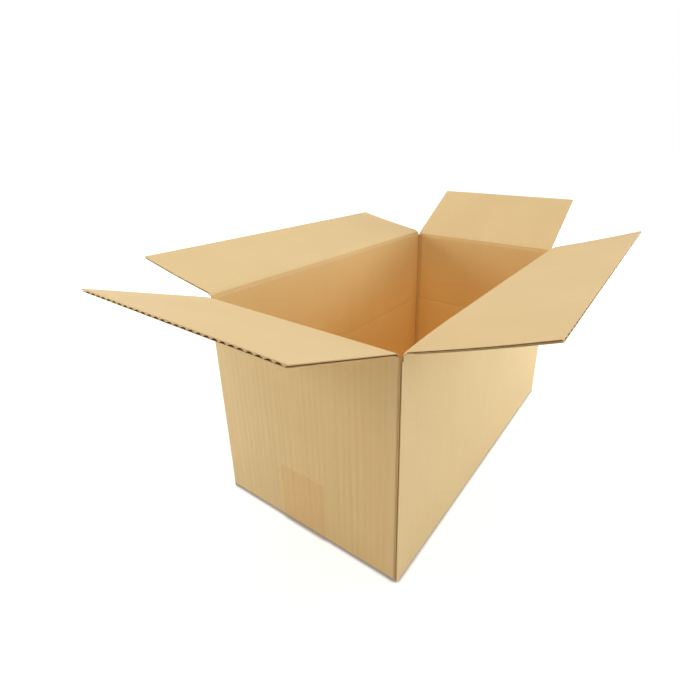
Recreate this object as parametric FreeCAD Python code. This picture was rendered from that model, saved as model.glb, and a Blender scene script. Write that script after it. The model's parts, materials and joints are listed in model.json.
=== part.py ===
import FreeCAD, Part
import math
import os

os.makedirs("parts", exist_ok=True)

# An open cardboard box: a slotted carton of single-wall corrugated board, taped shut at the bottom.
# Origin at the centre of the base, +X along the long side, +Y to the back, +Z up, millimetres.

# Folded size, over the outer faces
length = 360.0
width = 193.0
height = 200.0

# Board: two liners and a fluted middle
board = 2.4
liner = 0.3
medium = 0.3
flute_pitch = 6.4
flute_crest = 0.6

# Creases: the board is crushed to a thin neck, with a bevel inside and a shallow dent outside
neck = 0.6
neck_length = 1.0
bevel_length = 3.0
dent_length = 2.5
crease_gap = 0.2

# Slots between the flaps, which run a little past the creases, and the gaps that folded layers keep
slot_clearance = 0.4
slot_run = 0.5
layer_gap = 0.2
meeting_gap = 0.2
fold_radius = 2.0
corner_crush_width = 7.0
corner_crush_depth = 1.0

# Glue tab and raw edge at the joint in the front left corner
tab_width = 35.0
tab_taper = 8.0
joint_radius = 1.6
raw_edge_set = 0.5

# Score line at half height, pressed into the inner faces
score_height = 100.0
score_width = 2.4
score_depth = 0.5

# Packing tape
tape_width = 48.0
tape_thickness = 0.1
tape_tail = 60.0

# How far each top flap leans out from upright, in degrees
left_end_angle = 71.0
right_end_angle = 58.0
front_angle = 71.5
back_angle = 79.0

# Worked out from the sizes above
half_neck = neck / 2
inner_offset = board - half_neck
slot_inset = board + slot_clearance
crease_step = board + layer_gap
side_crease = height + crease_step / 2
end_crease = height - crease_step / 2
side_reach = width / 2 - half_neck - meeting_gap / 2
end_reach = side_reach + crease_step
solid_root = neck_length + bevel_length
side_flap_width = length - 2 * slot_inset
end_flap_width = width - 2 * slot_inset
ring_top = end_crease - solid_root - slot_run
base = tape_thickness
end_base = base + board + layer_gap
ring_bottom = end_base + board + slot_run
tape_bend = slot_inset


def vector(x, y, z):
    return FreeCAD.Vector(x, y, z)


def face(points):
    return Part.Face(Part.makePolygon(points + [points[0]]))


def along_x(points, span):
    # A prism of a section given as (y, z), centred on x = 0.
    section = face([vector(-span / 2, y, z) for y, z in points])
    return section.extrude(vector(span, 0, 0))


def channel(centre, outer_side):
    # One hollow between the fluted middle and a liner, wide at that liner.
    wide = flute_pitch / 2 - flute_crest
    narrow = flute_crest - 0.5 * medium
    mouth = liner
    floor = board - liner - medium
    if not outer_side:
        mouth = board - liner
        floor = liner + medium
    corners = [(-wide, mouth), (wide, mouth), (narrow, floor), (-narrow, floor)]
    return face([vector(centre + x, y - half_neck, 0) for x, y in corners])


def fluted_sheet(span, reach):
    # Board standing on z = 0, outer face to -Y, with its flutes open at the top and at both side cuts.
    low = -half_neck
    high = inner_offset
    corners = [(-span / 2, low), (span / 2, low), (span / 2, high), (-span / 2, high)]
    sheet = face([vector(x, y, 0) for x, y in corners])
    count = int(span / flute_pitch / 2) + 1
    hollows = []
    for number in range(-count, count + 1):
        hollows.append(channel(number * flute_pitch, True))
        hollows.append(channel((number + 0.5) * flute_pitch, False))
    return sheet.cut(hollows).extrude(vector(0, 0, reach))


def top_flap(span, reach):
    # Upright over its crease: the hinge axis is the X axis, the outer face is to -Y.
    start = half_neck + crease_gap
    dent_at_start = -half_neck * start / dent_length
    root = [
        (dent_at_start, start),
        (-half_neck, dent_length),
        (-half_neck, solid_root),
        (inner_offset, solid_root),
        (half_neck, neck_length),
        (half_neck, start),
    ]
    sheet = fluted_sheet(span, reach - solid_root)
    sheet.translate(vector(0, 0, solid_root))
    return sheet.fuse(along_x(root, span))


def place(shape, turn, distance, level):
    # Turns a shape made for the front about Z, after moving it out to its wall.
    shape.translate(vector(0, -distance, level))
    shape.rotate(vector(0, 0, 0), vector(0, 0, 1), turn)
    return shape


def leaning_flap(span, reach, angle, turn, distance, level):
    flap = top_flap(span, reach)
    flap.rotate(vector(0, 0, 0), vector(1, 0, 0), angle)
    return place(flap, turn, distance - half_neck, level)


def wall_top(span, level):
    # The last stretch of a wall up to its crease, in place over the hinge axis at y = 0, z = 0.
    bottom = ring_top - level
    points = [
        vector(0, -half_neck, bottom),
        vector(0, -half_neck, -dent_length),
        vector(0, 0, 0),
        vector(0, 0, half_neck),
    ]
    outer = Part.makePolygon(points).Edges
    diagonal = half_neck * math.sqrt(0.5)
    roll = Part.Arc(points[-1], vector(0, diagonal, diagonal), vector(0, half_neck, 0)).toShape()
    inner_points = [
        vector(0, half_neck, 0),
        vector(0, half_neck, -neck_length),
        vector(0, inner_offset, -solid_root),
        vector(0, inner_offset, bottom),
        points[0],
    ]
    inner = Part.makePolygon(inner_points).Edges
    section = Part.Face(Part.Wire(outer + [roll] + inner))
    section.translate(vector(-span / 2, 0, 0))
    return section.extrude(vector(span, 0, 0))


def folded_bottom(span, level, reach):
    # The lowest stretch of a wall and the start of its bottom flap, outer face at y = 0.
    diagonal = fold_radius * (1 - math.sqrt(0.5))
    down = vector(0, 0, level + fold_radius)
    across = vector(0, fold_radius, level)
    fold = Part.Arc(down, vector(0, diagonal, level + diagonal), across).toShape()
    points = [
        across,
        vector(0, reach, level),
        vector(0, reach, level + board),
        vector(0, board, level + board),
        vector(0, board, ring_bottom),
        vector(0, 0, ring_bottom),
        down,
    ]
    section = Part.Face(Part.Wire([fold] + Part.makePolygon(points).Edges))
    section.translate(vector(-span / 2, 0, 0))
    return section.extrude(vector(span, 0, 0))


def end_bottom_flap():
    # An end wall's bottom flap is seen from inside, so its free edge shows the flutes.
    fold_part = 2 * board
    sheet = fluted_sheet(end_flap_width, end_reach - fold_part)
    sheet.rotate(vector(0, 0, 0), vector(1, 0, 0), 90)
    sheet.rotate(vector(0, 0, 0), vector(0, 0, 1), 180)
    sheet.translate(vector(0, fold_part, end_base + half_neck))
    return folded_bottom(end_flap_width, end_base, fold_part).fuse(sheet)


def rounded_block():
    block = Part.makeBox(length, width, ring_top - ring_bottom, vector(-length / 2, -width / 2, ring_bottom))
    corners = []
    for edge in block.Edges:
        upright = abs(edge.tangentAt(edge.FirstParameter).z) > 0.9
        centre = edge.CenterOfMass
        at_joint = centre.x < 0 and centre.y < 0
        if upright and not at_joint:
            corners.append(edge)
    return block.makeFillet(fold_radius, corners)


def inner_space():
    # The room between the walls: beside each folded corner the end walls are crushed thinner.
    inner_x = length / 2 - board
    inner_y = width / 2 - board
    crushed_x = inner_x + corner_crush_depth
    near_y = inner_y - corner_crush_width
    outline = [
        (-inner_x, -inner_y),
        (crushed_x, -inner_y),
        (inner_x, -near_y),
        (inner_x, near_y),
        (crushed_x, inner_y),
        (-crushed_x, inner_y),
        (-inner_x, near_y),
    ]
    section = face([vector(x, y, ring_bottom) for x, y in outline])
    return section.extrude(vector(0, 0, ring_top - ring_bottom))


def joint_cut():
    # The front wall stops short of the corner, and the end wall folds in behind its raw edge.
    x = -length / 2
    y = -width / 2
    tall = ring_top - ring_bottom
    gap = Part.makeBox(raw_edge_set, board, tall, vector(x, y, ring_bottom))
    nook = Part.makeBox(joint_radius, joint_radius, tall, vector(x, y + board, ring_bottom))
    centre = vector(x + joint_radius, y + board + joint_radius, ring_bottom)
    nook = nook.cut(Part.makeCylinder(joint_radius, tall, centre))
    hollow = channel(0, True)
    hollow.translate(vector(x + raw_edge_set + flute_crest, y + half_neck, ring_bottom))
    return gap.fuse([nook, hollow.extrude(vector(0, 0, tall))])


def glue_tab():
    # The end wall's tab, glued to the inner face of the front wall.
    start = -length / 2 + board
    end = -length / 2 + tab_width
    y = -width / 2 + board
    points = [
        vector(start, y, ring_bottom),
        vector(end, y, ring_bottom + tab_taper),
        vector(end, y, ring_top - tab_taper),
        vector(start, y, ring_top),
    ]
    return face(points).extrude(vector(0, board, 0))


def score(span, shift, turn, distance):
    # A shallow groove across one wall's inner face.
    points = [(0, -score_width / 2), (-score_depth, 0), (0, score_width / 2)]
    groove = along_x(points, span)
    groove.translate(vector(shift, board, score_height))
    return place(groove, turn, distance, 0)


def box_body():
    body = rounded_block().cut([inner_space(), joint_cut()])
    pieces = [glue_tab()]
    for turn in (0, 180):
        pieces.append(place(wall_top(side_flap_width, side_crease), turn, width / 2 - half_neck, side_crease))
        bottom = folded_bottom(side_flap_width, base, width / 2 - meeting_gap / 2)
        pieces.append(place(bottom, turn, width / 2, 0))
    for turn in (-90, 90):
        pieces.append(place(wall_top(end_flap_width, end_crease), turn, length / 2 - half_neck, end_crease))
        pieces.append(place(end_bottom_flap(), turn, length / 2, 0))
    body = body.fuse(pieces)
    end_span = width - 2 * (board + corner_crush_width)
    side_span = length - 2 * board
    front_span = side_span - tab_width
    grooves = [
        score(front_span, tab_width / 2, 0, width / 2),
        score(side_span, 0, 180, width / 2),
        score(end_span, 0, -90, length / 2),
        score(end_span, 0, 90, length / 2),
    ]
    return body.cut(grooves)


def bottom_tape():
    # One strip under the bottom seam that turns up both end walls.
    outer_x = length / 2 + tape_thickness
    outer_radius = tape_bend + tape_thickness
    top = tape_tail
    turn_x = length / 2 - tape_bend
    turn_z = tape_thickness + tape_bend

    def bend(side, radius):
        slant = radius * math.sqrt(0.5)
        start = vector(side * turn_x, 0, turn_z - radius)
        middle = vector(side * (turn_x + slant), 0, turn_z - slant)
        end = vector(side * (turn_x + radius), 0, turn_z)
        return Part.Arc(start, middle, end).toShape()

    edges = [
        Part.makeLine(vector(-turn_x, 0, 0), vector(turn_x, 0, 0)),
        bend(1, outer_radius),
        Part.makeLine(vector(outer_x, 0, turn_z), vector(outer_x, 0, top)),
        Part.makeLine(vector(outer_x, 0, top), vector(length / 2, 0, top)),
        Part.makeLine(vector(length / 2, 0, top), vector(length / 2, 0, turn_z)),
        bend(1, tape_bend),
        Part.makeLine(vector(turn_x, 0, tape_thickness), vector(-turn_x, 0, tape_thickness)),
        bend(-1, tape_bend),
        Part.makeLine(vector(-length / 2, 0, turn_z), vector(-length / 2, 0, top)),
        Part.makeLine(vector(-length / 2, 0, top), vector(-outer_x, 0, top)),
        Part.makeLine(vector(-outer_x, 0, top), vector(-outer_x, 0, turn_z)),
        bend(-1, outer_radius),
    ]
    section = Part.Face(Part.Wire(Part.__sortEdges__(edges)))
    section.translate(vector(0, -tape_width / 2, 0))
    return section.extrude(vector(0, tape_width, 0))


end_sizes = (end_flap_width, end_reach)
side_sizes = (side_flap_width, side_reach)
parts = {
    "box_body": box_body(),
    "bottom_tape": bottom_tape(),
    "left_end_flap": leaning_flap(*end_sizes, left_end_angle, -90, length / 2, end_crease),
    "right_end_flap": leaning_flap(*end_sizes, right_end_angle, 90, length / 2, end_crease),
    "front_flap": leaning_flap(*side_sizes, front_angle, 0, width / 2, side_crease),
    "back_flap": leaning_flap(*side_sizes, back_angle, 180, width / 2, side_crease),
}

for name, shape in parts.items():
    print(name, "solids", len(shape.Solids), "valid", shape.isValid(), "volume", round(shape.Volume, 1))
    shape.exportStep("parts/" + name + ".step")
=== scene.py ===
# %% [markdown]
# # An open cardboard box
# A slotted carton is one flat sheet of corrugated board. It is cut, creased, folded round and glued
# at one corner, and its bottom flaps are taped shut.
# It could be modelled as a box with four planes on top, but then nothing shows the board itself.
# Here the sheet is made as the factory makes it: three papers, laid out flat, slotted, then folded
# by one function, so walls, creases and flaps all line up.

# %% Load the frame and keep its size
import json
import math

import bmesh
import bpy
from mathutils import Matrix, Vector, noise


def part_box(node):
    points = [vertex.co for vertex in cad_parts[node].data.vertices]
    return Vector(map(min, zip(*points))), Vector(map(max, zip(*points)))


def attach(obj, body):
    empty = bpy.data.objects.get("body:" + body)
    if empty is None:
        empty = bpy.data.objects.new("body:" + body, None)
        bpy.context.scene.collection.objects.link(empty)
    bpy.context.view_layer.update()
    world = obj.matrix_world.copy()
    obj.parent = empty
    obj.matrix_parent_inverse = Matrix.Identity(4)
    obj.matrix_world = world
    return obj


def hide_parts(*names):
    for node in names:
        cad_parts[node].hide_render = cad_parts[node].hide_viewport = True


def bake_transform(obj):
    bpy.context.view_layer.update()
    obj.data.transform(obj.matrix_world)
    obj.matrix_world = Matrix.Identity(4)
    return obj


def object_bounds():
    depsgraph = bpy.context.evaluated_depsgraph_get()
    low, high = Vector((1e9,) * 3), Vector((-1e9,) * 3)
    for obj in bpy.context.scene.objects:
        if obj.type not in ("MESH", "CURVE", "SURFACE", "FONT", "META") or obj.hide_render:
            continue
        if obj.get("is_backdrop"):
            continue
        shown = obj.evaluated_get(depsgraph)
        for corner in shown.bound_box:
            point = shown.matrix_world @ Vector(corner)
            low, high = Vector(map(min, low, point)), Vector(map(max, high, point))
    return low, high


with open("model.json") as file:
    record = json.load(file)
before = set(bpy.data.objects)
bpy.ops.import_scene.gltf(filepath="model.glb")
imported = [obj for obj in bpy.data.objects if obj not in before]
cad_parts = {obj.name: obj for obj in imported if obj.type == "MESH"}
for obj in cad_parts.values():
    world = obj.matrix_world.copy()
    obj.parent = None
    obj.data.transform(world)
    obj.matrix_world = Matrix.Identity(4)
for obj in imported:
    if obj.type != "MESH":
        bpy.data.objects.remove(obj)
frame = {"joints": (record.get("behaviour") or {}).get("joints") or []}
cad_low, cad_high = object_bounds()
mm = 0.001
print("frame", [round(side / mm) for side in cad_high - cad_low], "mm")

# %% [markdown]
# ## Sizes
# The folded size and the crease heights are read from the frame, so the sheet always fits it.
# What is left are the sizes of the board: its thickness, its papers, and the pitch of its flutes.
# A crease is a line where the board is crushed thin, so it also has a width and a thickness.
# The walls between the bottom fold and the end creases are called the ring here.

# %% Sizes of the box, the board and its creases
body_low, body_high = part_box("box_body")
length = body_high.x - body_low.x
width = body_high.y - body_low.y
base = body_low.z
joints = {joint["child"]: joint for joint in frame["joints"]}
side_crease = joints["front_flap"]["pos_m"][2]
end_crease = joints["left_end_flap"]["pos_m"][2]

board = 2.4 * mm
paper = 0.24 * mm
flute_pitch = 6.4 * mm
half_neck = 0.3 * mm
crease_reach = 3.8 * mm
crease_bend = 1.1 * mm

slot_clearance = 0.4 * mm
slot_inset = board + slot_clearance
layer_gap = 0.2 * mm
hair = 0.1 * mm
corner_radius = 2 * mm
bottom_radius = 1.2 * mm
joint_radius = 1.6 * mm
raw_edge_set = 0.5 * mm
tab_width = 35 * mm
tab_taper = 8 * mm
end_base = base + board + layer_gap
ring_top = end_crease - crease_reach
ring_lift = 0.3 * mm
ring_bottom = end_base + ring_lift
side_reach = width / 2 - half_neck - layer_gap / 2
end_reach = side_reach + board + layer_gap
levels = [round(crease / mm, 1) for crease in (side_crease, end_crease)]
print("box", round(length / mm), "x", round(width / mm), "mm, creases at", levels, "mm")

# %% [markdown]
# ## A line that bends
# Seen from above, the sheet runs along four walls and turns a rounded corner between them. Seen from
# the side, it runs in along the bottom, turns up and becomes a wall.
# Both are straight runs joined by arcs. A Bezier curve could do it, but a point on it is hard to find
# by distance, and folding a sheet needs just that: how far along, and which way it faces there.

# %% Straight runs joined by arcs
def bent_line(points, radii):
    points = [Vector(point) for point in points]
    spans = []
    travelled = 0.0
    start = points[0]
    for number in range(1, len(points)):
        corner = points[number]
        ahead = (corner - points[number - 1]).normalized()
        heading = math.atan2(ahead.y, ahead.x)
        if number == len(points) - 1:
            spans.append((travelled, (corner - start).length, start, heading, 0.0))
            break
        beyond = (points[number + 1] - corner).normalized()
        turn = math.atan2(ahead.x * beyond.y - ahead.y * beyond.x, ahead.dot(beyond))
        radius = radii[number - 1]
        cut = radius * math.tan(abs(turn) / 2)
        stop = corner - ahead * cut
        run = (stop - start).length
        arc = radius * abs(turn)
        spans.append((travelled, run, start, heading, 0.0))
        spans.append((travelled + run, arc, stop, heading, turn / arc))
        travelled += run + arc
        start = corner + beyond * cut
    return spans


def along(spans, distance):
    for begin, run, start, heading, curve in spans:
        if distance <= begin + run:
            break
    step = distance - begin
    facing = heading + curve * step
    if curve == 0.0:
        return start + Vector((math.cos(heading), math.sin(heading))) * step, facing
    swing = Vector((math.sin(facing) - math.sin(heading), math.cos(heading) - math.cos(facing)))
    return start + swing / curve, facing


# %% The line round the walls
half_length = length / 2
half_width = width / 2
round_the_walls = bent_line(
    [
        (-half_length + raw_edge_set, -half_width),
        (half_length, -half_width),
        (half_length, half_width),
        (-half_length, half_width),
        (-half_length, -half_width + board),
        (-half_length + tab_width, -half_width + board),
    ],
    [corner_radius, corner_radius, corner_radius, joint_radius],
)
sheet_length = round_the_walls[-1][0] + round_the_walls[-1][1]
print("the sheet is", round(sheet_length / mm), "mm long round the walls and the tab")

# %% [markdown]
# ## The four panels
# The flat sheet has four panels in a row, each with a top flap and a bottom flap, and a narrow tab
# at its end. Slots part the flaps from each other.
# A place on the flat sheet is given by two numbers: how far round it lies, and how high. A panel
# knows where its slots are, how high its crease is and how far its flap leans out.

# %% Panels, with the lean of each flap read from its hinge
upright_to_closed = 90


def panel(name, span, level, crease, reach, slots, walls):
    joint = joints[name]
    begin, run = round_the_walls[span][:2]
    profile = bent_line([(reach, level), (0, level), (0, crease)], [bottom_radius])
    return {
        "flap": name,
        "span": span,
        "crease": crease,
        "reach": side_reach if crease == side_crease else end_reach,
        "lean": math.radians(-joint["range_deg"][0] - upright_to_closed),
        "profile": profile,
        "shift": profile[2][0] - level - bottom_radius,
        "slots": (begin + slots[0], begin + run + slots[1]),
        "walls": (begin + walls[0], begin + run + walls[1]),
    }


inset = slot_inset - corner_radius
past_joint = board + joint_radius - slot_inset
bottom_reach = width / 2 - layer_gap / 2
raw_side = (slot_inset - raw_edge_set, -inset)
folded = (inset, -inset)
panels = [
    panel("front_flap", 0, base, side_crease, bottom_reach, raw_side, raw_side),
    panel("right_end_flap", 2, end_base, end_crease, end_reach, folded, folded),
    panel("back_flap", 4, base, side_crease, bottom_reach, folded, folded),
    panel("left_end_flap", 6, end_base, end_crease, end_reach, (inset, past_joint), (inset, 0.0)),
]
rounding = 0.001 * mm
corner_places = [span[0] + span[1] / 2 for span in round_the_walls if span[4] != 0.0]
for sheet_panel in panels:
    print(sheet_panel["flap"], "leans out", round(math.degrees(sheet_panel["lean"]), 1), "degrees")


def panel_at(around, height):
    kind = "walls" if height < ring_top + hair else "slots"
    for candidate in panels:
        low, high = candidate[kind]
        if low - rounding <= around <= high + rounding:
            return candidate
    return None


# %% [markdown]
# ## Folding
# One function takes a place on the flat sheet, and a depth in the board, to its place on the box.
# In a wall it only goes in from the outer face. Below, it follows the bottom fold. Above the crease
# it turns about the hinge line by the flap's lean, and near the crease by part of it, so the board
# rolls over in a small round bend as crushed board does.
# Two more things keep it from looking ruled. The front crease sags a little towards the glued
# corner, and the two long flaps bow slightly between crease and edge.
# Posing flat planes by hand would leave gaps at each crease. A fold function can't.

# %% Fold a place on the sheet
crease_droop = 0.8 * mm
droop_along = 5 * mm
joint_sag = 2.2 * mm
sag_along = 70 * mm
flap_bow = 0.7 * mm
crease_zone = crease_reach + 1 * mm


def smooth(share):
    share = min(1.0, max(0.0, share))
    return share * share * (3 - 2 * share)


def sag(sheet_panel, around):
    if sheet_panel["flap"] != "front_flap":
        return 0.0
    return joint_sag * max(0.0, 1 - (around - sheet_panel["slots"][0]) / sag_along) ** 2


def share_above_ring(sheet_panel, height):
    return (height - ring_top) / (sheet_panel["crease"] - ring_top)


def from_wall(sheet_panel, around, inward, height):
    begin, _, start, heading, _ = round_the_walls[sheet_panel["span"]]
    ahead = Vector((math.cos(heading), math.sin(heading)))
    inner = Vector((-ahead.y, ahead.x))
    point = start + ahead * (around - begin) + inner * inward
    return Vector((point.x, point.y, height))


def fold(around, height, depth):
    here = panel_at(around, height)
    if here is None:
        point, facing = along(round_the_walls, around)
        point = point + Vector((-math.sin(facing), math.cos(facing))) * depth
        level = height
        tab_share = (around - corner_places[-1]) / (sheet_length - corner_places[-1])
        if tab_share > 0:
            middle = (ring_top + ring_bottom) / 2
            half = (ring_top - ring_bottom) / 2
            level = middle + (height - middle) * (1 - tab_share * tab_taper / half)
        return Vector((point.x, point.y, level))
    rise = height - here["crease"]
    sunk = sag(here, around)
    if rise < -crease_zone:
        point, facing = along(here["profile"], height + here["shift"])
        inward = point.x + math.sin(facing) * depth
        level = point.y - math.cos(facing) * depth
        level -= sunk * max(0.0, share_above_ring(here, height))
        return from_wall(here, around, inward, level)
    lean = here["lean"] * smooth((rise + crease_bend) / (2 * crease_bend))
    offset = depth - half_neck
    if rise > crease_reach and here["crease"] == side_crease:
        offset -= flap_bow * math.sin(math.pi * (rise - crease_reach) / here["reach"])
    inward = half_neck + offset * math.cos(lean) - rise * math.sin(lean)
    level = here["crease"] + offset * math.sin(lean) + rise * math.cos(lean)
    from_slot = min(around - here["slots"][0], here["slots"][1] - around)
    near_slot = max(0.0, 1 - from_slot / droop_along)
    near_crease = max(0.0, 1 - abs(rise) / crease_zone)
    level -= crease_droop * near_slot ** 2 * near_crease ** 2
    if rise < 0:
        level -= sunk * share_above_ring(here, height)
    else:
        level -= sunk * (1 - rise / here["reach"])
    return from_wall(here, around, inward, level)


low_end, high_end = [fold(place, side_crease, 0.0).z for place in panels[0]["slots"]]
print("front crease is", round(low_end / mm, 1), "to", round(high_end / mm, 1), "mm high at its ends")

# %% [markdown]
# ## How thick the board is
# Board is not evenly thick. Every crease, corner and score line crushes the flutes, always from the
# inside, so the inner paper dips and the outer paper stays nearly flat. A knife pinches the board
# from both sides wherever it cuts. By the glued corner the front crease is dented from outside too,
# which gives the sagging flap room to swing.
# The whole sheet is also a little uneven, as board that has been stacked and handled is. One slow
# noise moves all three papers together, always inward, and it fades out where the box rests. The
# board is thinner by as much as the noise can move it, so it never reaches past its true inner face.

# %% Uneven board and pinched edges
unevenness = 0.3 * mm
still_height = 25 * mm
edge_pinch = 0.12 * mm
pinch_reach = 2 * mm


def steady_noise(place, around_scale, height_scale, seed):
    around, height = place
    return noise.noise(Vector((around * around_scale, height * height_scale, seed)))


def wobble(around, height):
    wave = 0.5 + 0.5 * steady_noise((around, height), 11, 9, 3.7)
    return unevenness * wave * smooth((height - base) / still_height)


def pinch(around, height):
    from_edge = abs(around)
    here = panel_at(around, height)
    if here and not ring_bottom < height < ring_top:
        low, high = here["slots"]
        from_tip = here["crease"] + here["reach"] - height
        from_edge = min(around - low, high - around, from_tip)
    return edge_pinch * smooth(1 - from_edge / pinch_reach)


# %% How far corners, creases and the score line crush the board
corner_crush = 1.2 * mm
corner_reach = 3 * mm
end_wall_crush = 0.8 * mm
end_crush_reach = 7.4 * mm
end_crush_fade = 1.2 * mm
tab_crush = 0.4 * mm
crush_fade = 4 * mm
score_height = 100 * mm
score_depth = 0.4 * mm
score_reach = 2.6 * mm
crease_crush = 0.7 * mm
bottom_crush = 1.2 * mm
bottom_fold_reach = 3 * mm


def corner_press(around, height):
    pressed = 0.0
    for number, corner in enumerate(corner_places):
        beside = around - corner
        pressed = max(pressed, corner_crush * smooth(1 - abs(beside) / corner_reach))
        on_end_wall = beside > 0 if number in (0, 2) else beside < 0
        if on_end_wall:
            within = (end_crush_reach - abs(beside)) / end_crush_fade
            pressed = max(pressed, end_wall_crush * smooth(within))
    if around > corner_places[-1]:
        pressed = max(pressed, tab_crush)
    pressed *= smooth((ring_top + crush_fade - height) / crush_fade)
    if ring_bottom < height < ring_top:
        firm = 0.75 + 0.25 * steady_noise((around, 0.5), 60, 1, 8.1)
        from_score = abs(height - score_height)
        pressed = max(pressed, score_depth * firm * smooth(1 - from_score / score_reach))
    return pressed


def crush(around, height):
    pressed = corner_press(around, height)
    here = panel_at(around, height)
    if here:
        rise = abs(height - here["crease"])
        pressed = max(pressed, crease_crush * smooth(1 - rise / crease_reach))
        fold_middle = here["profile"][1][0] + here["profile"][1][1] / 2 - here["shift"]
        from_fold = abs(height - fold_middle)
        pressed = max(pressed, bottom_crush * smooth(1 - from_fold / bottom_fold_reach))
    return pressed


# %% Depths of the outer and the inner face
crease_dent = 0.22 * mm
dent_reach = 2.5 * mm
joint_dent = 0.8 * mm
joint_dent_reach = 9 * mm
joint_dent_floor = 0.4
least_board = 3.2 * paper


def inner_depth(around, height):
    made = board - unevenness - crush(around, height) - pinch(around, height)
    return made + wobble(around, height)


def outer_depth(around, height):
    depth = wobble(around, height) + pinch(around, height)
    here = panel_at(around, height)
    if here:
        rise = abs(height - here["crease"])
        depth = max(depth, crease_dent * smooth(1 - rise / dent_reach))
        beside_joint = sag(here, around) / joint_sag
        dent = smooth(1 + joint_dent_floor - rise / joint_dent_reach)
        depth = max(depth, joint_dent * beside_joint * dent)
    return min(depth, inner_depth(around, height) - least_board)


mid_front = sum(panels[0]["slots"]) / 2
for line, height in (("open wall", side_crease / 3), ("score line", score_height), ("crease", side_crease)):
    thickness = inner_depth(mid_front, height) - outer_depth(mid_front, height)
    print("board is", round(thickness / mm, 2), "mm thick at the", line)

# %% [markdown]
# ## A paper
# Corrugated board is three papers: two flat liners and a wavy middle glued between them.
# Each is a grid in the flat sheet. Patches are welded while still flat, thickened by extruding the
# whole region, and only then folded. So one paper is one closed skin with true cut edges, and the
# open flutes at the flaps' edges are real hollows, not a picture of them. The knife leaves their
# mouths half closed: in the last millimetre the middle's upper skin runs up to the inner paper.

# %% Rows, columns and flat grids
edge_steps = [step * mm for step in (0.6, 1.2, 1.9, 2.7, 3.8, 5.2, 7.2, 10)]
clear_of_edge = 0.3


def stations(low, high, step, fine_low=True, fine_high=True):
    near = [low + inside for inside in edge_steps] if fine_low else []
    far = [high - inside for inside in reversed(edge_steps)] if fine_high else []
    start = near[-1] if near else low
    stop = far[0] if far else high
    count = max(1, round((stop - start) / step))
    middle = [start + (stop - start) * n / count for n in range(count + 1)]
    return sorted({round(value, 9) for value in [low, high] + near + middle + far})


def flute_stations(low, high, per_flute=6):
    step = flute_pitch / per_flute
    first = math.ceil(low / step + clear_of_edge)
    last = math.floor(high / step - clear_of_edge)
    return [low] + [step * n for n in range(first, last + 1)] + [high]


def add_patch(mesh, arounds, heights):
    columns = len(arounds) - 1
    rows = len(heights) - 1
    made = bmesh.ops.create_grid(mesh, x_segments=columns, y_segments=rows, size=0.5)
    for vert in made["verts"]:
        column = round((vert.co.x + 0.5) * columns)
        row = round((vert.co.y + 0.5) * rows)
        vert.co = (arounds[column], heights[row], 0)


print("the sheet has", round(sheet_length / flute_pitch), "flutes")

# %% One paper, thickened and folded
weld_distance = 1e-7


def fold_paper(patches, lower, upper):
    """One paper of the flat patches, between two depths, thickened and folded."""
    mesh = bmesh.new()
    for arounds, heights in patches:
        add_patch(mesh, arounds, heights)
    bmesh.ops.remove_doubles(mesh, verts=mesh.verts[:], dist=weld_distance)
    flat = mesh.loops.layers.uv.new("sheet")
    crushed = mesh.verts.layers.float.new("crushed")
    first_side = set(mesh.verts)
    bmesh.ops.extrude_face_region(mesh, geom=mesh.faces[:])
    for face in mesh.faces:
        for loop in face.loops:
            loop[flat].uv = loop.vert.co.xy
        sides = {vert in first_side for vert in face.verts}
        face.material_index = 1 if len(sides) == 2 else 0
        face.smooth = True
    for vert in mesh.verts:
        around, height, _ = vert.co
        depth = lower(around, height) if vert in first_side else upper(around, height)
        vert[crushed] = min(1.0, corner_press(around, height) / mm)
        vert.co = fold(around, height, depth)
    return mesh


# %% Three papers
flute_flatness = 0.5
closed_mouth = 1.2 * mm


def three_papers(liner_patches, flute_patches):
    def under_outer(around, height):
        return outer_depth(around, height) + paper

    def under_inner(around, height):
        return inner_depth(around, height) - paper

    def flute(around, height, side):
        low = under_outer(around, height)
        high = under_inner(around, height)
        swing = max(0.0, (high - low - paper) / 2)
        share = 0.5 + 0.5 * math.cos(math.tau * around / flute_pitch)
        wave = 2 * share ** flute_flatness - 1
        depth = (low + high) / 2 + swing * wave + side * paper / 2
        here = panel_at(around, height)
        if side < 0 or here is None:
            return depth
        from_tip = here["crease"] + here["reach"] - height
        closed = smooth(1 - from_tip / closed_mouth)
        return depth + (high - depth) * closed

    yield fold_paper(liner_patches, outer_depth, under_outer)
    yield fold_paper(liner_patches, under_inner, inner_depth)
    yield fold_paper(flute_patches, lambda a, h: flute(a, h, -1), lambda a, h: flute(a, h, 1))


# %% One piece of board
sharp_edge = math.radians(40)


def finish_mesh(mesh, name):
    bmesh.ops.recalc_face_normals(mesh, faces=mesh.faces[:])
    for edge in mesh.edges:
        edge.smooth = edge.calc_face_angle(0.0) < sharp_edge
    data = bpy.data.meshes.new(name)
    mesh.to_mesh(data)
    mesh.free()
    return data


def board_piece(name, liner_patches, flute_patches, materials):
    """The three papers of one stretch of board, joined in one object."""
    whole = bmesh.new()
    for number, part in enumerate(three_papers(liner_patches, flute_patches)):
        for face in part.faces:
            face.material_index = 3 if face.material_index else number
        scrap = finish_mesh(part, "scrap")
        whole.from_mesh(scrap)
        bpy.data.meshes.remove(scrap)
    data = bpy.data.meshes.new(name)
    whole.to_mesh(data)
    whole.free()
    piece = bpy.data.objects.new(name, data)
    bpy.context.scene.collection.objects.link(piece)
    for material in materials:
        data.materials.append(material)
    print(name, "has", len(data.polygons) * 2, "triangles")
    return piece


# %% [markdown]
# ## Node helpers
# The finish is built from small nodes that read the flat sheet's own coordinates, kept as a UV map.
# Because every piece shares that map, fibres and flute lines run on across the creases, which no
# box projection would give.

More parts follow.
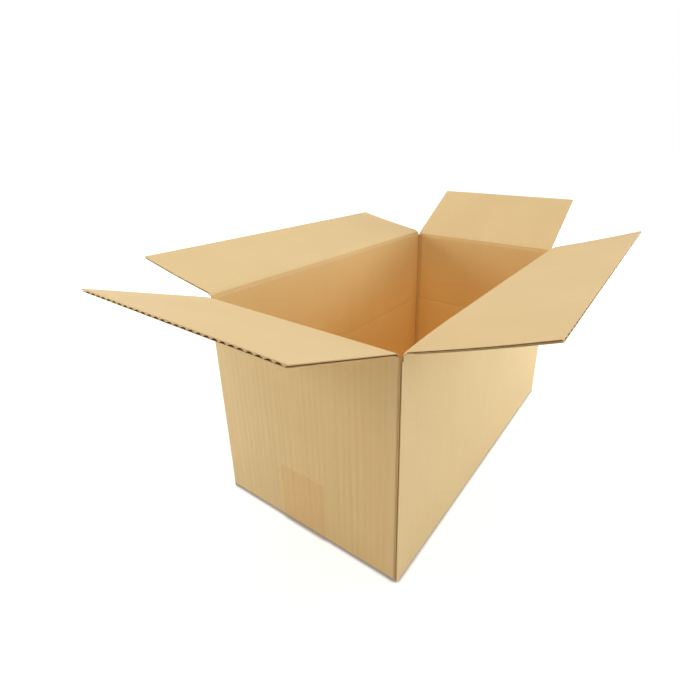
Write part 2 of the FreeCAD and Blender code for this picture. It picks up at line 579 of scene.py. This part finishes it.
# %% Short ways to add nodes
class Finish:
    def __init__(self, name):
        self.material = bpy.data.materials.new(name)
        self.material.use_nodes = True
        self.nodes = self.material.node_tree.nodes
        self.links = self.material.node_tree.links
        self.shader = self.nodes["Principled BSDF"]

    def add(self, kind, inputs=None, **settings):
        node = self.nodes.new(kind)
        for key, value in settings.items():
            setattr(node, key, value)
        for key, value in (inputs or {}).items():
            if isinstance(value, bpy.types.NodeSocket):
                self.links.new(value, node.inputs[key])
            else:
                node.inputs[key].default_value = value
        return node

    def math(self, operation, first, second=0.0):
        return self.add("ShaderNodeMath", {0: first, 1: second}, operation=operation).outputs[0]

    def noise(self, place, stretch, detail=3.0, roughness=0.55):
        mapped = self.add("ShaderNodeMapping", {"Vector": place, "Scale": stretch})
        inputs = {"Vector": mapped.outputs[0], "Scale": 1.0, "Detail": detail, "Roughness": roughness}
        return self.add("ShaderNodeTexNoise", inputs).outputs[0]

    def spread(self, value, low, high, to_low=0.0, to_high=1.0):
        inputs = {"Value": value, "From Min": low, "From Max": high, "To Min": to_low, "To Max": to_high}
        return self.add("ShaderNodeMapRange", inputs).outputs[0]

    def mix(self, share, first, second, blend="MIX"):
        node = self.add("ShaderNodeMix", data_type="RGBA", blend_type=blend)
        for socket, value in ((node.inputs[0], share), (node.inputs[6], first), (node.inputs[7], second)):
            if isinstance(value, bpy.types.NodeSocket):
                self.links.new(value, socket)
            else:
                socket.default_value = value
        return node.outputs[2]

    def link(self, output, name):
        self.links.new(output, self.shader.inputs[name])


# %% [markdown]
# ## Kraft paper
# Kraft liner is unbleached wood fibre: matt, light brown, with fibres that lie mostly across the
# flutes, a few dark specks, and slow cloudy patches. The flutes press through it as faint stripes.
# Where the board was crushed its paper is rubbed a little darker.
# The wavy middle is darker, rougher paper, and a cut edge shows the raw fibres.
# A picture of paper would repeat itself and couldn't keep in step with the flutes. Noises laid out on
# the flat sheet, each stretched the way that its fibres or marks run, do both.

# %% Tones of the paper: clouds, fibres, grain, rub marks and pressed flute lines
side_wall_lines = 0.35


def pressed_lines(finish, sheet, round_the_sheet):
    """Flute lines and streaks, strongest on the two end walls."""
    ridge = finish.math("COSINE", finish.math("MULTIPLY", round_the_sheet, math.tau / flute_pitch))
    uneven = finish.noise(sheet, (38, 5, 1), detail=2)
    ridge = finish.math("MULTIPLY", ridge, finish.spread(uneven, 0.35, 0.7))
    along_pair = finish.math("MODULO", round_the_sheet, length + width)
    end_wall = finish.spread(along_pair, length, length + 1 * mm, side_wall_lines, 1.0)
    streak = finish.noise(sheet, (330, 7, 1), detail=3, roughness=0.6)
    streaks = finish.math("MULTIPLY", finish.spread(streak, 0.3, 0.7, -1.0, 1.0), end_wall)
    return finish.math("MULTIPLY", ridge, end_wall), streaks


def paper_tone(finish, sheet, fibre, grain):
    """Light and dark of the paper itself, about zero on average."""
    cloud = finish.noise(sheet, (16, 11, 1), detail=4)
    rub = finish.noise(sheet, (14, 420, 1), detail=2)
    clouds = finish.spread(cloud, 0.3, 0.7, -0.22, 0.22)
    tone = finish.math("ADD", clouds, finish.spread(fibre, 0.25, 0.75, -0.3, 0.3))
    tone = finish.math("ADD", tone, finish.spread(grain, 0.2, 0.8, -0.18, 0.18))
    return finish.math("ADD", tone, finish.spread(rub, 0.6, 0.8, 0.0, 0.25))


# %% [markdown]
# Two painted tints follow the place on the sheet. The inner liner is painted warmer deep in the box. This
# is painted bounce light, standing in for light that reaches it only off other brown board. The left end
# wall is painted a shade darker towards the glued corner. This is painted shade, on top of the lamps'
# fall-off towards the near corner.

# %% Kraft liner, fluted middle and cut edge
painted_bounce_light_reach = 80 * mm
painted_bounce_light_share_at_top = 0.45
speck_colour = (0.33, 0.19, 0.075, 1)


# Painted bounce light: the inner liner is multiplied by a warm colour. It gets the full colour from 80 mm
# below the end crease down, less than half of it near the top, and none above the crease.
def painted_bounce_light_tint(finish, height, colour, painted_bounce_light):
    top = end_crease - 6 * mm
    depth = finish.spread(height, end_crease - painted_bounce_light_reach, top, 1.0, painted_bounce_light_share_at_top)
    inside = finish.spread(height, end_crease - 4 * mm, end_crease + 2 * mm, 1.0, 0.0)
    return finish.mix(finish.math("MULTIPLY", depth, inside), colour, painted_bounce_light, "MULTIPLY")


# Painted shade: the outer liner is multiplied by a darker colour. It rises over 0.9 box widths, across the
# left end wall, to full strength at the glued corner and on over the tab.
def painted_joint_shade_tint(finish, round_the_sheet, colour, painted_joint_shade):
    joint = corner_places[-1]
    near_joint = finish.spread(round_the_sheet, joint - 0.9 * width, joint)
    return finish.mix(near_joint, colour, painted_joint_shade, "MULTIPLY")


def kraft(name, light, dark, stripe, crush_tint, painted_bounce_light=None, painted_joint_shade=None):
    finish = Finish(name)
    sheet = finish.add("ShaderNodeUVMap", uv_map="sheet").outputs[0]
    round_the_sheet, height, _ = finish.add("ShaderNodeSeparateXYZ", {0: sheet}).outputs
    fibre = finish.noise(sheet, (170, 900, 1), detail=5, roughness=0.7)
    grain = finish.noise(sheet, (1900, 2600, 1), detail=2)
    ridge, streaks = pressed_lines(finish, sheet, round_the_sheet)
    tone = paper_tone(finish, sheet, fibre, grain)
    tone = finish.math("ADD", tone, finish.math("MULTIPLY", ridge, stripe))
    tone = finish.math("ADD", tone, finish.math("MULTIPLY", streaks, stripe))
    colour = finish.mix(finish.spread(tone, -0.9, 0.9), dark, light)
    # Painted bounce light and painted shade, for the materials that ask for them.
    if painted_bounce_light:
        colour = painted_bounce_light_tint(finish, height, colour, painted_bounce_light)
    if painted_joint_shade:
        colour = painted_joint_shade_tint(finish, round_the_sheet, colour, painted_joint_shade)
    speck = finish.noise(sheet, (1500, 1100, 1), detail=1)
    colour = finish.mix(finish.spread(speck, 0.72, 0.8, 0.0, 0.3), colour, speck_colour)
    crushed = finish.add("ShaderNodeAttribute", attribute_name="crushed").outputs["Fac"]
    colour = finish.mix(finish.spread(crushed, 0.1, 0.8, 0.0, 0.45), colour, crush_tint)
    finish.link(colour, "Base Color")
    finish.link(finish.spread(fibre, 0.2, 0.8, 0.74, 0.9), "Roughness")
    finish.shader.inputs["Specular IOR Level"].default_value = 0.28
    finish.shader.inputs["Sheen Weight"].default_value = 0.06
    finish.shader.inputs["Sheen Roughness"].default_value = 0.5
    relief = finish.math("ADD", finish.math("MULTIPLY", ridge, 0.5 if stripe else 0.0), fibre)
    relief = finish.math("ADD", relief, finish.math("MULTIPLY", grain, 0.5))
    bump = finish.add("ShaderNodeBump", {"Height": relief, "Strength": 0.5, "Distance": 0.08 * mm})
    finish.link(bump.outputs[0], "Normal")
    return finish.material


liner_light = (0.855, 0.64, 0.335, 1)
liner_dark = (0.735, 0.52, 0.248, 1)
rubbed = (0.79, 0.57, 0.29, 1)
creased = (0.69, 0.465, 0.2, 1)
middle_light = (0.7, 0.48, 0.22, 1)
middle_dark = (0.56, 0.37, 0.15, 1)
edge_light = (0.82, 0.57, 0.28, 1)
edge_dark = (0.7, 0.47, 0.21, 1)
# The next two are painted light, not colours of the paper: a warm painted bounce light for deep inside the
# box, and a painted shade for the left end wall near the glued corner.
painted_bounce_light_colour = (1.13, 1.04, 0.79, 1)
painted_joint_shade_colour = (0.98, 0.93, 0.83, 1)
board_finish = [
    kraft("outer_liner", liner_light, liner_dark, 0.3, rubbed, painted_joint_shade=painted_joint_shade_colour),
    kraft("inner_liner", liner_light, liner_dark, 0.03, creased, painted_bounce_light=painted_bounce_light_colour),
    kraft("fluted_middle", middle_light, middle_dark, 0.0, middle_light),
    kraft("cut_edge", edge_light, edge_dark, 0.0, edge_light),
]
print("finishes", [material.name for material in board_finish])

# %% [markdown]
# ## The walls and the bottom
# The lower part of the sheet stays in one piece: four walls, four bottom flaps and the glue tab.
# It is laid out as patches, one for each panel and one for each corner between them. The patches of
# the corners are shorter, which leaves the slots open. A narrow tongue runs on down to the bottom at
# each corner. At all but the glued one it also runs a little way up, to where the slot ends.
# One grid for the whole sheet would be simpler, but its slots would have to be cut out afterwards.

# %% Rows and columns of the body's patches
bottom_reach_in = 4 * mm
fold_step = 0.45 * mm


def ring_heights(step, parts):
    near_score = [score_height + score_reach * n / parts for n in range(-parts, parts + 1)]
    below = [ring_bottom + fold_step * n for n in range(3)]
    below += stations(below[-1] + 1 * mm, near_score[0], step, False, False)
    above = stations(near_score[-1], ring_top, step, False, False)
    return below + near_score[1:-1] + above


def bottom_heights(sheet_panel, step, parts):
    profile = sheet_panel["profile"]
    shift = sheet_panel["shift"]
    bend_start, bend_run = profile[1][:2]
    before_bend = bend_start - shift - bottom_reach_in
    flat = stations(-shift, before_bend, step, False, False)
    approach = [before_bend + bottom_reach_in * n / parts for n in range(1, parts + 1)]
    bend = [bend_start + bend_run * n / parts - shift for n in range(1, parts + 1)]
    return flat + approach + [height for height in bend if height < ring_bottom - hair]


# %% Patches of the body
tongue_width = 6 * mm
tongue_foot = base + bottom_radius
tongue_step = 0.8 * mm
slot_shortfall = 2.2 * mm


def body_patches(split, step, parts):
    patches = []
    ring = ring_heights(step, parts)
    for sheet_panel in panels:
        arounds = split(*sheet_panel["walls"])
        top = sheet_panel["crease"] - crease_reach
        heights = bottom_heights(sheet_panel, step, parts) + ring
        patches.append((arounds, heights + [top] if top > ring_top + hair else heights))
    edges = [0.0]
    for sheet_panel in panels:
        edges += sheet_panel["walls"]
    edges.append(sheet_length)
    for low, high in zip(edges[0::2], edges[1::2]):
        arounds = split(low, high)
        patches.append((arounds, ring))
        tongue = [around for around in arounds if around < low + tongue_width]
        patches.append((tongue, [tongue_foot, tongue_foot + tongue_step, ring[0]]))
        if low > 0.0 and high < sheet_length:
            tops = [ring[-1] + slot_shortfall * n / 2 for n in range(3)]
            patches.append((tongue, tops))
    return patches


# %% Fold the body of the box
wall_step = 11 * mm
tab_step = 8 * mm
corner_step = 0.6 * mm
flute_row_step = 34 * mm
narrowest_wall = 50 * mm
narrowest_tab = 20 * mm


def liner_split(low, high):
    if high - low > narrowest_wall:
        return stations(low, high, wall_step)
    if high - low > narrowest_tab:
        return stations(low, high, tab_step, True, False)
    count = max(2, round((high - low) / corner_step))
    return [low + (high - low) * n / count for n in range(count + 1)]


carton = board_piece(
    "carton_walls",
    body_patches(liner_split, wall_step, 4),
    body_patches(flute_stations, flute_row_step, 2),
    board_finish,
)
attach(carton, "root")
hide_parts("box_body")

# %% [markdown]
# ## Flaps and creases
# Each top flap swings as one stiff piece, and the crushed board of its crease is bent between wall and
# flap. So every flap is two pieces. The flap rides on its own body. The crease strip starts exactly where
# the wall stops, ends where the flap starts, and is folded from the one to the other about the hinge. It is
# not tied to any body, so it keeps this folded shape when the flap swings. With one mesh for both, the
# stiff flap would bend as well.

# %% Fold the four flaps and the strips at their creases
half_rises = [rise * mm for rise in (0.25, 0.5, 0.8, 1.2, 1.7, 2.3, 3.0)] + [crease_reach]
strip_rises = [-rise for rise in reversed(half_rises)] + [0.0] + half_rises
flap_column_step = 7 * mm
flap_row_step = 9 * mm


def flap_heights(sheet_panel, step):
    crease = sheet_panel["crease"]
    return stations(crease + crease_reach, crease + sheet_panel["reach"], step)


for sheet_panel in panels:
    name = sheet_panel["flap"]
    slots = sheet_panel["slots"]
    liner_arounds = stations(*slots, flap_column_step)
    flute_arounds = flute_stations(*slots)
    flap = board_piece(
        name + "_board",
        [(liner_arounds, flap_heights(sheet_panel, flap_row_step))],
        [(flute_arounds, flap_heights(sheet_panel, 2 * flap_row_step))],
        board_finish,
    )
    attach(flap, name)
    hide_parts(name)
    rises = [sheet_panel["crease"] + rise for rise in strip_rises]
    liners = [(liner_arounds, rises)]
    middle = [(flute_arounds, rises[::2])]
    strip = board_piece(name + "_crease", liners, middle, board_finish)
    hinge = Vector(joints[name]["pos_m"])
    axis = Vector(joints[name]["axis"])
    out_along_flap = Matrix.Rotation(sheet_panel["lean"], 3, axis) @ Vector((0, 0, 1))
    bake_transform(strip)

# %% [markdown]
# ## Packing tape
# Clear tape closes the bottom seam and turns up both end walls. It is a film, so only three things
# show: its gloss, its slightly warmer tone over the board, and the toothed cut at its end.
# It is a sheet bent along a line in the same way as the board, a hair outside it.

# %% Bend the tape round the bottom
film = 0.06 * mm
tooth = 0.9 * mm
tooth_pitch = 2.4 * mm
tooth_reach = 3 * mm
tape_bend_steps = 8
tail_step = 6 * mm


def tape_steps(outline):
    steps = [0.0]
    for number, (begin, run, _, _, curve) in enumerate(outline):
        if curve:
            steps += [begin + run * n / tape_bend_steps for n in range(1, tape_bend_steps + 1)]
        else:
            step = 2 * tail_step if number == 2 else tail_step
            steps += stations(begin, begin + run, step)[1:]
    return steps


def make_tape():
    low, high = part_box("bottom_tape")
    radius = slot_inset + hair
    tail = high.z
    outline = bent_line([(low.x, tail), (low.x, 0), (high.x, 0), (high.x, tail)], [radius, radius])
    total = outline[-1][0] + outline[-1][1]
    steps = tape_steps(outline)
    count = round((high.y - low.y) / (tooth_pitch / 4))
    acrosses = [low.y + (high.y - low.y) * n / count for n in range(count + 1)]
    mesh = bmesh.new()
    add_patch(mesh, steps, acrosses)
    flat = mesh.loops.layers.uv.new("sheet")
    outside = set(mesh.verts)
    bmesh.ops.extrude_face_region(mesh, geom=mesh.faces[:])
    for face in mesh.faces:
        face.smooth = True
        for loop in face.loops:
            loop[flat].uv = loop.vert.co.xy
    for vert in mesh.verts:
        distance, across, _ = vert.co
        phase = abs((across / tooth_pitch) % 1.0 - 0.5) * 2 * tooth
        from_end = min(distance, total - distance)
        pull = phase * smooth(1 - from_end / tooth_reach)
        point, facing = along(outline, distance)
        rise = point.y - (pull if point.y > tail / 2 else 0)
        depth = 0.0 if vert in outside else film
        inner = Vector((-math.sin(facing), math.cos(facing)))
        vert.co = (point.x + inner.x * depth, across, rise + inner.y * depth)
    data = finish_mesh(mesh, "packing_tape")
    piece = bpy.data.objects.new("packing_tape", data)
    bpy.context.scene.collection.objects.link(piece)
    print("tape is", round(total / mm), "mm long")
    return piece


# %% Clear film and its glue
film_dark = (0.97, 0.58, 0.2, 1)
film_light = (1.0, 0.64, 0.24, 1)


def tape_finish():
    finish = Finish("clear_tape")
    sheet = finish.add("ShaderNodeUVMap", uv_map="sheet").outputs[0]
    ripple = finish.noise(sheet, (45, 160, 1), detail=3)
    bubbles = finish.noise(sheet, (420, 420, 1), detail=2)
    finish.link(finish.mix(finish.spread(ripple, 0.3, 0.7), film_dark, film_light), "Base Color")
    finish.link(finish.spread(bubbles, 0.5, 0.75, 0.07, 0.12), "Alpha")
    finish.link(finish.spread(ripple, 0.3, 0.7, 0.16, 0.3), "Roughness")
    relief = finish.math("ADD", ripple, finish.math("MULTIPLY", bubbles, 0.3))
    bump = finish.add("ShaderNodeBump", {"Height": relief, "Strength": 0.35, "Distance": 0.1 * mm})
    finish.link(bump.outputs[0], "Normal")
    finish.shader.inputs["Specular IOR Level"].default_value = 0.5
    return finish.material


tape = make_tape()
tape.data.materials.append(tape_finish())
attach(tape, "root")
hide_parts("bottom_tape")

# %% [markdown]
# ## Floor and light
# The box stands on plain white. A white that is only bright would need so much light that the paper washes
# out. So the floor keeps a normal white for the light that it throws back, and what the camera sees of it
# is lifted. The dark line where the box meets the floor is partly its real shadow and partly painted
# shadow: an ambient occlusion node darkens the floor there and tints it warm.
# A shadow catcher and a second layer could do it too, but one material that tells by the ray who is
# looking needs a single render.

# %% White floor that keeps a thin shadow
contact_reach = 4.8 * mm
darkest_share = 0.32
near_the_box = 0.25
far_from_box = 0.7
floor_white = (0.86, 0.86, 0.86, 1)
floor_half_size = 6
shadow_tint = (1.0, 0.86, 0.66, 1)
plain_white = (1, 1, 1, 1)
seen_directly = ("Is Glossy Ray", "Is Transmission Ray")


def white_surface(name, glow, matt):
    finish = Finish(name)
    plain = finish.shader
    plain.inputs["Base Color"].default_value = floor_white
    plain.inputs["Roughness"].default_value = 0.9
    seen = finish.add("ShaderNodeBsdfDiffuse")
    place = finish.add("ShaderNodeTexCoord").outputs["Object"]
    away = finish.add("ShaderNodeVectorMath", {0: place}, operation="LENGTH").outputs["Value"]
    lift = finish.spread(away, near_the_box, far_from_box, glow, 1.0)
    # Painted shadow: an ambient occlusion node darkens what the camera sees of the floor within a few
    # millimetres of the box, and tints its glow warm.
    close_by = finish.add("ShaderNodeAmbientOcclusion", {"Distance": contact_reach}, samples=12)
    open_share = finish.spread(close_by.outputs["AO"], 0.45, 0.82, darkest_share, 1.0)
    lift = finish.math("MULTIPLY", lift, open_share)
    finish.links.new(finish.math("MULTIPLY", open_share, matt), seen.inputs["Color"])
    glow_colour = finish.mix(open_share, shadow_tint, plain_white)
    glowing = finish.add("ShaderNodeEmission", {"Color": glow_colour, "Strength": lift})
    lifted = finish.add("ShaderNodeAddShader", {0: seen.outputs[0], 1: glowing.outputs[0]})
    rays = finish.add("ShaderNodeLightPath").outputs
    direct = rays["Is Camera Ray"]
    for kind in seen_directly:
        direct = finish.math("MAXIMUM", direct, rays[kind])
    shown = finish.add("ShaderNodeMixShader", {0: direct, 1: plain.outputs[0], 2: lifted.outputs[0]})
    finish.links.new(shown.outputs[0], finish.nodes["Material Output"].inputs[0])
    return finish.material


floor_data = bpy.data.meshes.new("floor")
floor_mesh = bmesh.new()
bmesh.ops.create_grid(floor_mesh, x_segments=1, y_segments=1, size=floor_half_size)
floor_mesh.to_mesh(floor_data)
floor_mesh.free()
floor = bpy.data.objects.new("floor", floor_data)
bpy.context.scene.collection.objects.link(floor)
floor_data.materials.append(white_surface("white_floor", glow=0.65, matt=0.62))
floor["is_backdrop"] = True
print("floor is", 2 * floor_half_size, "m wide")

# %% [markdown]
# ## The white room
# The world does the same trick as the floor. A ray from the camera meets pure white, and every other
# ray meets a dimmer sky, which fills the shadows without washing out the board.

# %% White background and a dim sky
sky_strength = 0.26
world = bpy.data.worlds.new("white_room")
bpy.context.scene.world = world
world.use_nodes = True
room = world.node_tree
sky = room.nodes["Background"]
sky.inputs["Color"].default_value = plain_white
sky.inputs["Strength"].default_value = sky_strength
white = room.nodes.new("ShaderNodeBackground")
white.inputs["Color"].default_value = plain_white
rays = room.nodes.new("ShaderNodeLightPath")
direct = rays.outputs["Is Camera Ray"]
for kind in seen_directly:
    either = room.nodes.new("ShaderNodeMath")
    either.operation = "MAXIMUM"
    room.links.new(direct, either.inputs[0])
    room.links.new(rays.outputs[kind], either.inputs[1])
    direct = either.outputs[0]
shown = room.nodes.new("ShaderNodeMixShader")
room.links.new(direct, shown.inputs[0])
room.links.new(sky.outputs[0], shown.inputs[1])
room.links.new(white.outputs[0], shown.inputs[2])
room.links.new(shown.outputs[0], room.nodes["World Output"].inputs[0])
print("sky strength", sky_strength)

# %% [markdown]
# ## Lamps
# The light is a soft studio set. Three lamps hang above, and a large one stands off to the front
# right. Two small ones stand close by: one past the far end of the left wall, one past the far end
# of the front wall. Light falls off with distance, so both walls grow darker towards the near
# corner, as in the photograph.
# One more lamp behind the box lights its back wall, which the photograph doesn't show.

# %% Soft lamps
lamp_aim = Vector((0, 0, 0.12))


def lamp(name, place, size, power, tint=(1, 1, 1)):
    data = bpy.data.lights.new(name, "AREA")
    data.shape = "SQUARE"
    data.size = size
    data.energy = power
    data.color = tint
    made = bpy.data.objects.new(name, data)
    made.location = place
    made.visible_camera = False
    aim = lamp_aim - Vector(place)
    made.rotation_euler = aim.to_track_quat("-Z", "Y").to_euler()
    bpy.context.scene.collection.objects.link(made)
    print(name, "at", place, "with", power, "watts")


lamp("left_top_lamp", (-1.6, 0.2, 1.8), 1.2, 5.2, (1.0, 0.92, 0.76))
lamp("front_top_lamp", (0.0, -1.6, 1.6), 1.2, 6.0, (1.0, 0.92, 0.8))
lamp("top_lamp", (0.05, 0.0, 1.1), 0.7, 3.6)
lamp("right_lamp", (1.6, -1.6, 0.9), 1.2, 9.0, (0.84, 0.95, 1.0))
lamp("left_near_lamp", (-0.52, 0.56, 0.36), 0.3, 2.4, (0.92, 0.95, 1.0))
lamp("right_near_lamp", (0.8, -0.75, 0.35), 0.4, 6.4, (0.8, 0.9, 1.0))
lamp("back_lamp", (0.5, 1.8, 0.35), 0.9, 5.0)

# %% [markdown]
# ## Camera
# The photograph looks down on the near corner from the front left, close enough that the far walls
# draw in. The camera stands about half a metre from the box, with its lens shifted a little, because
# the picture was cropped off centre.
# Placed by eye it would never quite match, so its place, aim and roll were fitted to the corners of
# the box in the photograph.

# %% Camera
picture_width = 680
picture_height = 698
focal_pixels = 444.3
centre_pixel = (381.9, 318.3)
sensor_width = 36
camera_data = bpy.data.cameras.new("camera")
camera_data.sensor_width = sensor_width
camera_data.lens = sensor_width * focal_pixels / picture_height
camera_data.shift_x = (picture_width / 2 - centre_pixel[0]) / picture_height
camera_data.shift_y = (centre_pixel[1] - picture_height / 2) / picture_height
camera_data.clip_start = 10 * mm
camera = bpy.data.objects.new("camera", camera_data)
camera_place = Vector((-0.3932, -0.2234, 0.3233))
camera_aim = Vector((-0.00694, 0.03485, 0.13862))
camera_roll = math.radians(0.457)
towards_box = (camera_aim - camera_place).to_track_quat("-Z", "Y").to_matrix()
turned = towards_box @ Matrix.Rotation(camera_roll, 3, "Z")
camera.matrix_world = Matrix.Translation(camera_place) @ turned.to_4x4()
bpy.context.scene.collection.objects.link(camera)
bpy.context.scene.camera = camera
bpy.context.scene.view_settings.view_transform = "Standard"
print("lens", round(camera_data.lens, 1), "mm")

# %% [markdown]
# ## Finish
# The size of the dressed box is written beside the frame's, to show that the looks didn't change it.

# %% Write the sizes and finish
new_low, new_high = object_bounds()
for made, low, high in (("frame", cad_low, cad_high), ("dressed", new_low, new_high)):
    print(made, [round(side / mm, 1) for side in high - low], "mm")
